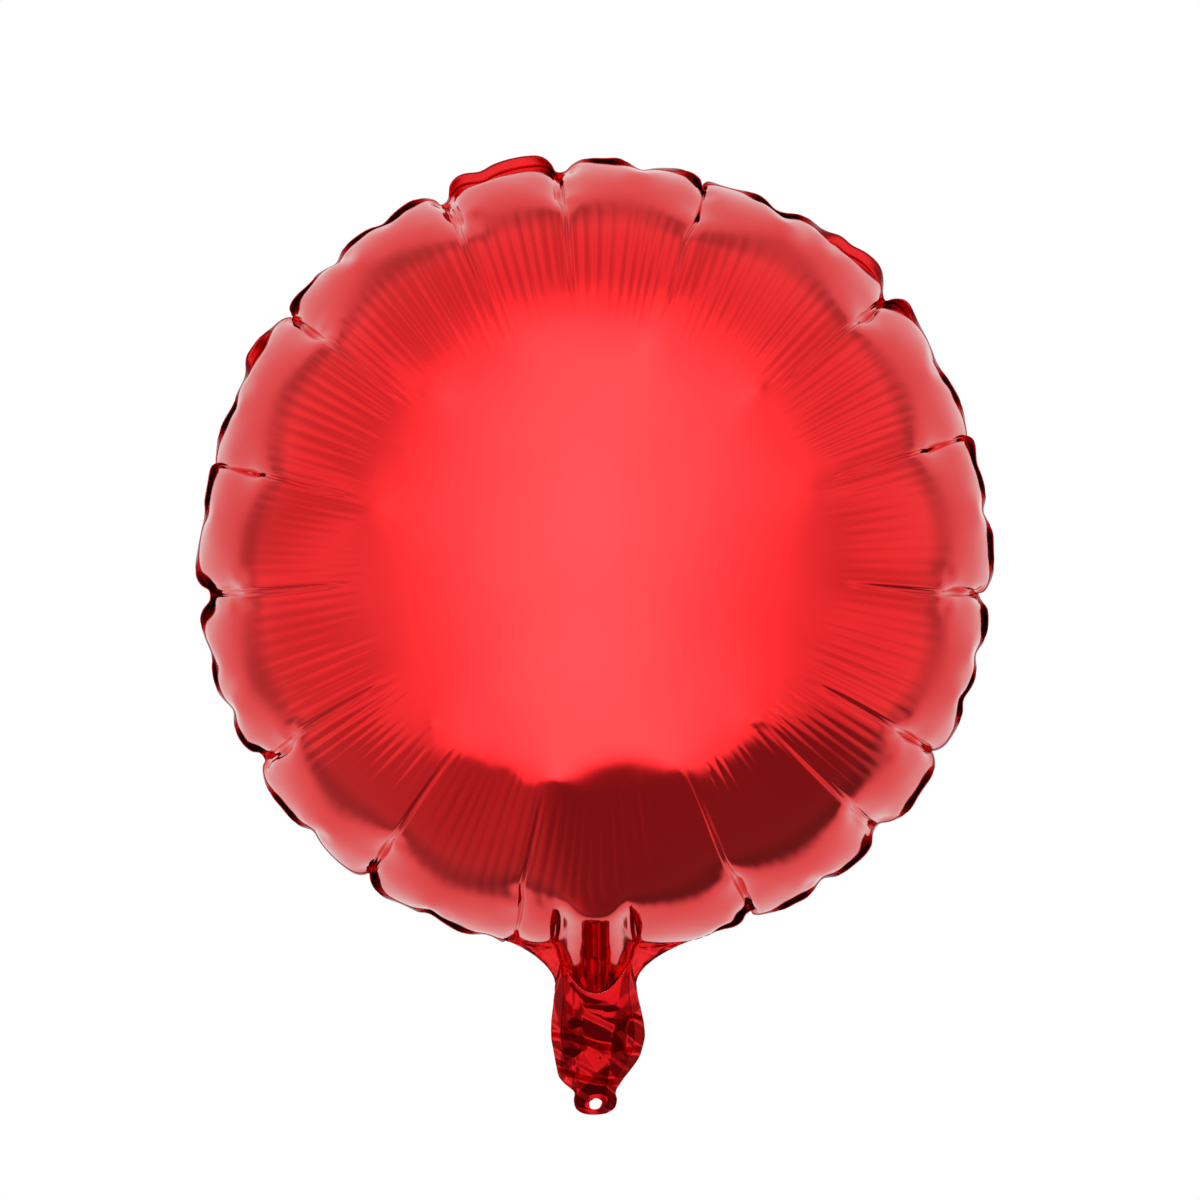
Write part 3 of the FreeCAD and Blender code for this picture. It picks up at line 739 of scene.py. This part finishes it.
# the films' points near the inlet move to its edge, so that the hole is round
ring = np.isin(np.arange(len(co)), tail_points) & (np.abs(off_inlet(co) - INLET_RADIUS) < 0.00028)
scale_in = INLET_RADIUS / np.maximum(off_inlet(co), 1e-6)
for axis, middle_of in ((0, 0.0), (2, INLET_Z)):
    co[ring, axis] = middle_of + (co[ring, axis] - middle_of) * scale_in[ring]
open_inlet = (kind == TAIL_FILM) & (off_inlet(co[quads].mean(1)) < INLET_RADIUS)


def film_piece(name, keep, offset=0.0):
    """One film of its own: the faces in keep, moved along Y by offset."""
    mine = quads[keep]
    used = np.unique(mine)
    number = np.zeros(len(co), int)
    number[used] = np.arange(len(used))
    place = co[used].copy()
    place[:, 1] += offset
    corners = number[mine]
    if offset > 0:
        corners = corners[:, ::-1]
    mesh = bpy.data.meshes.new(name)
    mesh.from_pydata(place.tolist(), [], corners.tolist())
    piece = bpy.data.objects.new(name, mesh)
    bpy.context.scene.collection.objects.link(piece)
    layer = mesh.uv_layers.new(name="cut")
    order = np.zeros(len(mesh.loops), int)
    mesh.loops.foreach_get("vertex_index", order)
    layer.data.foreach_set("uv", cut[used][order][:, [0, 2]].ravel())
    mesh.polygons.foreach_set("use_smooth", np.ones(len(mesh.polygons), bool))
    mesh.update()
    return piece


def apply_modifiers(piece):
    bpy.context.view_layer.objects.active = piece
    for modifier in list(piece.modifiers):
        with bpy.context.temp_override(object=piece, active_object=piece, selected_objects=[piece]):
            bpy.ops.object.modifier_apply(modifier=modifier.name)


def thicken(piece, thickness):
    wall = piece.modifiers.new("wall", "SOLIDIFY")
    wall.thickness, wall.offset = thickness, 0
    apply_modifiers(piece)
    return piece


SHEET_OFF = 0.00030  # how far the tail's films stand from its middle
RIM_WALL, TAIL_WALL, TAB_WALL, VALVE_WALL = 0.0004, 0.0005, 0.0003, 0.00006
front = film_piece("front_panel_film", kind == FRONT)
back = film_piece("back_panel_film", kind == BACK)
rim_band = thicken(film_piece("rim_weld_band", kind == RIM_BAND), RIM_WALL)
tail_front = film_piece("tail_front_sheet", kind == TAIL_FILM, -SHEET_OFF)
tail_back = film_piece("tail_back_sheet", (kind == TAIL_FILM) & ~open_inlet, SHEET_OFF)
tail_band = thicken(film_piece("tail_weld_band", kind == TAIL_BAND), TAIL_WALL)
tab_front = film_piece("tab_front_sheet", kind == TAB, -SHEET_OFF)
tab_back = film_piece("tab_back_sheet", kind == TAB, SHEET_OFF)
tab_band = thicken(film_piece("tab_weld_sheet", kind == TAB), TAB_WALL)

# ---- materials ----


def linear(code):
    """An sRGB hex colour as linear numbers."""
    parts = [int(code[k : k + 2], 16) / 255 for k in (1, 3, 5)]
    return tuple(p / 12.92 if p <= 0.04045 else ((p + 0.055) / 1.055) ** 2.4 for p in parts) + (1.0,)


def add(tree, kind, inputs=None, links=None, **settings):
    """Adds a node, sets its settings and inputs, and links from (node, output) pairs."""
    node = tree.nodes.new(kind)
    for key, value in settings.items():
        setattr(node, key, value)
    for key, value in (inputs or {}).items():
        node.inputs[key].default_value = value
    for key, (source, output) in (links or {}).items():
        tree.links.new(source.outputs[output], node.inputs[key])
    return node


def new_material(name):
    material = bpy.data.materials.new(name)
    material.use_nodes = True
    tree = material.node_tree
    return material, tree, tree.nodes["Principled BSDF"]


MM = 0.001
BLOTCH = 0.5  # a noise of scale 1 has blotches this many metres across


def foil_material(name, roughness, deep, light, dent, dent_size, coat):
    """Film with a metal layer under a dyed lacquer: a mirror tinted red, white at a glancing
    angle, never quite flat."""
    material, tree, shader = new_material(name)
    shader.inputs["Metallic"].default_value = 1.0
    shader.inputs["Coat Weight"].default_value = coat
    shader.inputs["Coat IOR"].default_value = 1.3
    shader.inputs["Coat Roughness"].default_value = 0.05
    place = {"Vector": (add(tree, "ShaderNodeTexCoord"), "Object")}
    clouds = add(tree, "ShaderNodeTexNoise", {"Scale": BLOTCH / (60 * MM)}, place)
    colour = add(tree, "ShaderNodeValToRGB", links={"Fac": (clouds, "Fac")})
    colour.color_ramp.elements[0].position, colour.color_ramp.elements[0].color = 0.3, linear(deep)
    colour.color_ramp.elements[1].position, colour.color_ramp.elements[1].color = 0.7, linear(light)
    tree.links.new(colour.outputs["Color"], shader.inputs["Base Color"])
    handled = add(tree, "ShaderNodeTexNoise", {"Scale": BLOTCH / (14 * MM)}, place)
    spread = {"From Min": 0.3, "From Max": 0.7, "To Min": roughness * 0.85, "To Max": roughness * 1.15}
    haze = add(tree, "ShaderNodeMapRange", spread, {"Value": (handled, "Fac")})
    tree.links.new(haze.outputs["Result"], shader.inputs["Roughness"])
    dents = add(tree, "ShaderNodeTexNoise", {"Scale": BLOTCH / dent_size}, place)
    depth = {"Strength": 1.0, "Distance": dent}
    bump = add(tree, "ShaderNodeBump", depth, {"Height": (dents, "Fac")})
    tree.links.new(bump.outputs["Normal"], shader.inputs["Normal"])
    return material


# Metallised polyester film, dyed red: the panels, drawn tight by the gas, mirror the studio softly
foil = foil_material("metallised_polyester_film", 0.10, "#F01D22", "#F8282C", 0.10 * MM, 26 * MM, 0.55)
# The same film where it is slack: the tail and the tab, crumpled by handling, so its dents are small and
# many; its much darker base colour is painted shade, for the dark surroundings that the crumpled film mirrors
shaded_slack_foil = foil_material("slack_polyester_film", 0.17, "#740205", "#960408", 0.10 * MM, 2.5 * MM, 0.12)
# Two films pressed together hot: duller, a shade darker, with the small ripples of the sealing bar
pressed_foil = foil_material(
    "heat_sealed_polyester_film", 0.34, "#8A0509", "#A60A10", 0.12 * MM, 1.6 * MM, 0.3
)
# Cast polyethylene film, as blown for valves: clear, a little milky
clear_film, tree, shader = new_material("cast_polyethylene_film")
shader.inputs["Base Color"].default_value = linear("#F2F4F5")
shader.inputs["Transmission Weight"].default_value = 0.85
shader.inputs["IOR"].default_value = 1.51
place = {"Vector": (add(tree, "ShaderNodeTexCoord"), "Object")}
cloudy = add(tree, "ShaderNodeTexNoise", {"Scale": BLOTCH / (5 * MM)}, place)
milk = add(tree, "ShaderNodeMapRange", {"To Min": 0.18, "To Max": 0.36}, {"Value": (cloudy, "Fac")})
tree.links.new(milk.outputs["Result"], shader.inputs["Roughness"])
# The same film melted on to the panel: whiter and duller, with a fine grain from the sealing bar
clear_weld, tree, shader = new_material("heat_sealed_polyethylene")
shader.inputs["Base Color"].default_value = linear("#E3E6E8")
shader.inputs["Transmission Weight"].default_value = 0.5
shader.inputs["Roughness"].default_value = 0.5
place = {"Vector": (add(tree, "ShaderNodeTexCoord"), "Object")}
knurls = add(tree, "ShaderNodeTexNoise", {"Scale": BLOTCH / (0.8 * MM)}, place)
depth = {"Strength": 0.6, "Distance": 0.05 * MM}
ripple = add(tree, "ShaderNodeBump", depth, {"Height": (knurls, "Fac")})
tree.links.new(ripple.outputs["Normal"], shader.inputs["Normal"])
# Release ink on the valve film: matt grey, printed thin, so it is uneven
ink, tree, shader = new_material("release_ink")
shader.inputs["Roughness"].default_value = 0.7
place = {"Vector": (add(tree, "ShaderNodeTexCoord"), "Object")}
specks = add(tree, "ShaderNodeTexNoise", {"Scale": BLOTCH / (1.5 * MM), "Detail": 6.0}, place)
tone = add(tree, "ShaderNodeValToRGB", links={"Fac": (specks, "Fac")})
tone.color_ramp.elements[0].position, tone.color_ramp.elements[0].color = 0.35, linear("#5B6168")
tone.color_ramp.elements[1].position, tone.color_ramp.elements[1].color = 0.65, linear("#7C838B")
tree.links.new(tone.outputs["Color"], shader.inputs["Base Color"])

# ---- the valve: thin films between and above the tail's films ----
tail_faces = quads[np.isin(kind, (TAIL_FILM, TAIL_BAND))]
tail_tree = BVHTree.FromPolygons([tuple(p) for p in co], [tuple(int(k) for k in q) for q in tail_faces])
top_points = [co[p] for p in top_row]


def middle(x, z):
    """How far the tail's middle surface stands from the balloon's plane."""
    hit = tail_tree.ray_cast(Vector((x, -0.1, z)), Vector((0, 1, 0)))[0]
    if hit is not None:
        return hit.y
    y = float(np.interp(x, [p[0] for p in top_points], [p[1] for p in top_points]))
    top = float(np.interp(x, [p[0] for p in top_points], [p[2] for p in top_points]))
    return y * math.exp(-max(0.0, z - top) / 0.012)


def valve_piece(name, node, place, corners, material):
    """One film of the valve: its mesh and its wall, in place of the CAD part node, which it hides."""
    mesh = bpy.data.meshes.new(name)
    mesh.from_pydata([tuple(p) for p in place], [], [tuple(int(k) for k in q) for q in corners])
    mesh.polygons.foreach_set("use_smooth", [True] * len(corners))
    piece = bpy.data.objects.new(name, mesh)
    bpy.context.scene.collection.objects.link(piece)
    mesh.materials.append(material)
    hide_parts(node)
    thicken(piece, VALVE_WALL)
    # no side may be under 10 mm, so a narrower seal states its box's area instead
    return piece


def valve_strip(name, node, offset, material, curl=0.0):
    """A thin film in a node's place above the crease, which curls away from the middle by
    curl at its top."""
    low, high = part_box(node)
    across, along = 48, max(6, round((high.z - low.z) / 0.0006))
    xs, zs = np.linspace(low.x, high.x, across + 1), np.linspace(low.z, high.z, along + 1)
    place = []
    for z in zs:
        for x in xs:
            top = float(np.interp(x, [p[0] for p in top_points], [p[2] for p in top_points]))
            near = min(1.0, max(0.15, abs(z - top) / 0.003))
            bow = curl * ((z - low.z) / (high.z - low.z)) ** 2 * (1 - 0.4 * (x / high.x) ** 2)
            place.append((x, middle(x, z) + offset * near + bow, z))
    w = across + 1
    corners = [
        (r * w + c, r * w + c + 1, (r + 1) * w + c + 1, (r + 1) * w + c)
        for r in range(along)
        for c in range(across)
    ]
    if offset > 0:
        corners = [q[::-1] for q in corners]
    return valve_piece(name, node, place, corners, material)


def inlet_strip(name, node, offset, material):
    """A thin film in a node's place in the tail, crumpled just as the tail is, because it is
    a layer of it."""
    low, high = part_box(node)
    mine = quads[(kind == TAIL_FILM) & ~(open_inlet & (offset > 0))]
    middles = co[mine].mean(1)
    mine = mine[(np.abs(middles[:, 0]) < high.x) & (middles[:, 2] > low.z) & (middles[:, 2] < high.z)]
    used, corners = np.unique(mine, return_inverse=True)
    place = co[used].copy()
    place[:, 1] += offset
    corners = corners.reshape(mine.shape)[:, :: 1 if offset < 0 else -1]
    return valve_piece(name, node, place, corners, material)


# how far the valve's films, seals, print and flaps stand from the middle, and how far a flap curls
FILM_OFF, SEAL_OFF, PRINT_OFF, FLAP_OFF, FLAP_CURL = 0.00007, 0.00015, 0.00002, 0.0001, 0.0012
inlets = [
    inlet_strip("valve_front_inlet_film", "valve_front_inlet", -FILM_OFF, clear_film),
    inlet_strip("valve_back_inlet_film", "valve_back_inlet", FILM_OFF, clear_film),
]
necks = [
    valve_strip("valve_front_neck_film", "valve_front_neck", -FILM_OFF, clear_film),
    valve_strip("valve_back_neck_film", "valve_back_neck", FILM_OFF, clear_film),
    valve_strip("valve_front_seal_band", "valve_front_seal", -SEAL_OFF, clear_weld),
    valve_strip("valve_back_seal_band", "valve_back_seal", SEAL_OFF, clear_weld),
    valve_strip("valve_release_ink", "valve_release_print", -PRINT_OFF, ink),
]
flaps = [
    valve_strip("valve_front_flap_film", "valve_front_flap", -FLAP_OFF, clear_film, -FLAP_CURL),
    valve_strip("valve_back_flap_film", "valve_back_flap", FLAP_OFF, clear_film, FLAP_CURL),
]

for piece, material, slot in (
    (front, foil, "foil"),
    (back, foil, "foil"),
    (rim_band, pressed_foil, "weld"),
    (tail_front, shaded_slack_foil, "foil"),
    (tail_back, shaded_slack_foil, "foil"),
    (tail_band, pressed_foil, "weld"),
    (tab_front, shaded_slack_foil, "foil"),
    (tab_back, shaded_slack_foil, "foil"),
    (tab_band, pressed_foil, "weld"),
):
    piece.data.materials.append(material)

for piece in [front, back, rim_band]:
    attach(piece, "envelope")
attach(flaps[0], "front_flap")
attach(flaps[1], "back_flap")
for piece in [tail_front, tail_back, tail_band, *inlets, *necks]:
    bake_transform(piece)
for piece in (tab_front, tab_back, tab_band):
    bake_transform(piece)
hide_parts("front_panel")
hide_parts("back_panel")
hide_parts("rim_weld")
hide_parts("tail_front_film")
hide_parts("tail_back_film")
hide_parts("tail_weld")
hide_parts("tab_front_film")
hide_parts("tab_back_film")
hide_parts("tab_weld")

# ---- studio ----
world = bpy.data.worlds.new("studio")
bpy.context.scene.world = world
world.use_nodes = True
tree = world.node_tree
tree.nodes.clear()


# What the film mirrors: a soft bright wall in front, panels round the sides, a dark floor,
# and a pale backdrop behind.
WALL_LIGHT, WALL_HALF = 2.7, 0.36
PANEL_LIGHT, PANEL_RIPPLE, PANELS_ROUND = 0.80, 0.14, 14.0
BACKDROP_LIGHT = 0.80
direction = add(tree, "ShaderNodeTexCoord")
axes = add(tree, "ShaderNodeSeparateXYZ", links={0: (direction, "Generated")})
X, Y, Z = (axes, "X"), (axes, "Y"), (axes, "Z")
# where each part begins and ends, in a direction of length 1, and its strength before and after
edges = {
    "wall_foot": (Z, -0.62, -0.54, 0.0, 1.0),
    "wall_head": (Z, 0.45, 1.0, 1.0, 0.0),
    "wall_sides": (Y, -0.8, -0.3, 1.0, 0.0),
    "panels_begin": (Y, -0.90, -0.55, 0.0, 1.0),
    "floor_tone": (X, -0.5, 0.1, 0.50, 0.22),
    "floor_line": (Z, -0.60, -0.48, 0.0, 1.0),
    "gap_tone": (Y, 0.05, 0.26, 1.0, 0.7),
    "backdrop_line": (Y, 0.30, 0.46, 0.0, 1.0),
}
for name, (axis, low, high, before, after) in edges.items():
    span = {"From Min": low, "From Max": high, "To Min": before, "To Max": after}
    node = add(tree, "ShaderNodeMapRange", span, {"Value": axis}, interpolation_type="SMOOTHSTEP")
    edges[name] = (node, "Result")
wall = add(tree, "ShaderNodeMath", {1: WALL_HALF}, {0: X}, operation="DIVIDE")
wall = add(tree, "ShaderNodeMath", {1: 2.0}, {0: (wall, 0)}, operation="POWER")
wall = add(tree, "ShaderNodeMath", {1: -1.0}, {0: (wall, 0)}, operation="MULTIPLY")
wall = add(tree, "ShaderNodeMath", links={0: (wall, 0)}, operation="EXPONENT")
for name in ("wall_foot", "wall_head", "wall_sides"):
    wall = add(tree, "ShaderNodeMath", links={0: (wall, 0), 1: edges[name]}, operation="MULTIPLY")
panels = add(tree, "ShaderNodeMath", links={0: X, 1: Z}, operation="ARCTAN2")
panels = add(tree, "ShaderNodeMath", {1: PANELS_ROUND}, {0: (panels, 0)}, operation="MULTIPLY")
panels = add(tree, "ShaderNodeMath", links={0: (panels, 0)}, operation="SINE")
panels = add(tree, "ShaderNodeMath", links={0: (panels, 0), 1: edges["panels_begin"]}, operation="MULTIPLY")
tones = {1: PANEL_RIPPLE, 2: PANEL_LIGHT}
panels = add(tree, "ShaderNodeMath", tones, {0: (panels, 0)}, operation="MULTIPLY_ADD")
sides = {"Factor": edges["floor_line"], 2: edges["floor_tone"], 3: (panels, 0)}
sides = add(tree, "ShaderNodeMix", links=sides, data_type="FLOAT")
gap = add(tree, "ShaderNodeMath", links={0: edges["gap_tone"], 1: (sides, 0)}, operation="MULTIPLY")
behind = {"Factor": edges["backdrop_line"], 2: (gap, 0)}
backdrop = add(tree, "ShaderNodeMix", {3: BACKDROP_LIGHT}, behind, data_type="FLOAT")
both = {0: (wall, 0), 2: (backdrop, 0)}
total = add(tree, "ShaderNodeMath", {1: WALL_LIGHT}, both, operation="MULTIPLY_ADD")
path = add(tree, "ShaderNodeLightPath")
shown = {"Factor": (path, "Is Camera Ray"), 2: (total, 0)}
seen = add(tree, "ShaderNodeMix", {3: 1.0}, shown, data_type="FLOAT")
light = add(tree, "ShaderNodeBackground", {"Color": (1, 1, 1, 1)}, {"Strength": (seen, 0)})
add(tree, "ShaderNodeOutputWorld", links={"Surface": (light, "Background")})

lamp = bpy.data.lights.new("softbox", "AREA")
lamp.shape, lamp.size, lamp.size_y, lamp.energy = "RECTANGLE", 2.6, 2.0, 60
softbox = bpy.data.objects.new("softbox", lamp)
bpy.context.scene.collection.objects.link(softbox)
softbox.location = (0, -2.0, 2.6)
softbox.rotation_euler = (math.radians(42), 0, 0)
softbox.visible_camera = False
softbox.visible_glossy = False

bpy.ops.object.select_all(action="DESELECT")
bpy.ops.mesh.primitive_plane_add(size=4, location=(0, 0, -0.45))
floor = bpy.context.object
floor.name = "floor"
paper, tree, shader = new_material("matt_paper")
shader.inputs["Base Color"].default_value = linear("#F4F4F4")
shader.inputs["Roughness"].default_value = 0.9
floor.data.materials.append(paper)
floor.visible_glossy = False
floor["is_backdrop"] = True

camera_data = bpy.data.cameras.new("camera")
camera_data.lens, camera_data.sensor_width = 150, 36
camera = bpy.data.objects.new("camera", camera_data)
bpy.context.scene.collection.objects.link(camera)
camera.location = (0.002, -2.2, 0.2218)
camera.rotation_euler = (math.radians(90), 0, 0)
bpy.context.scene.camera = camera
bpy.context.scene.view_settings.view_transform = "Standard"

low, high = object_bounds()
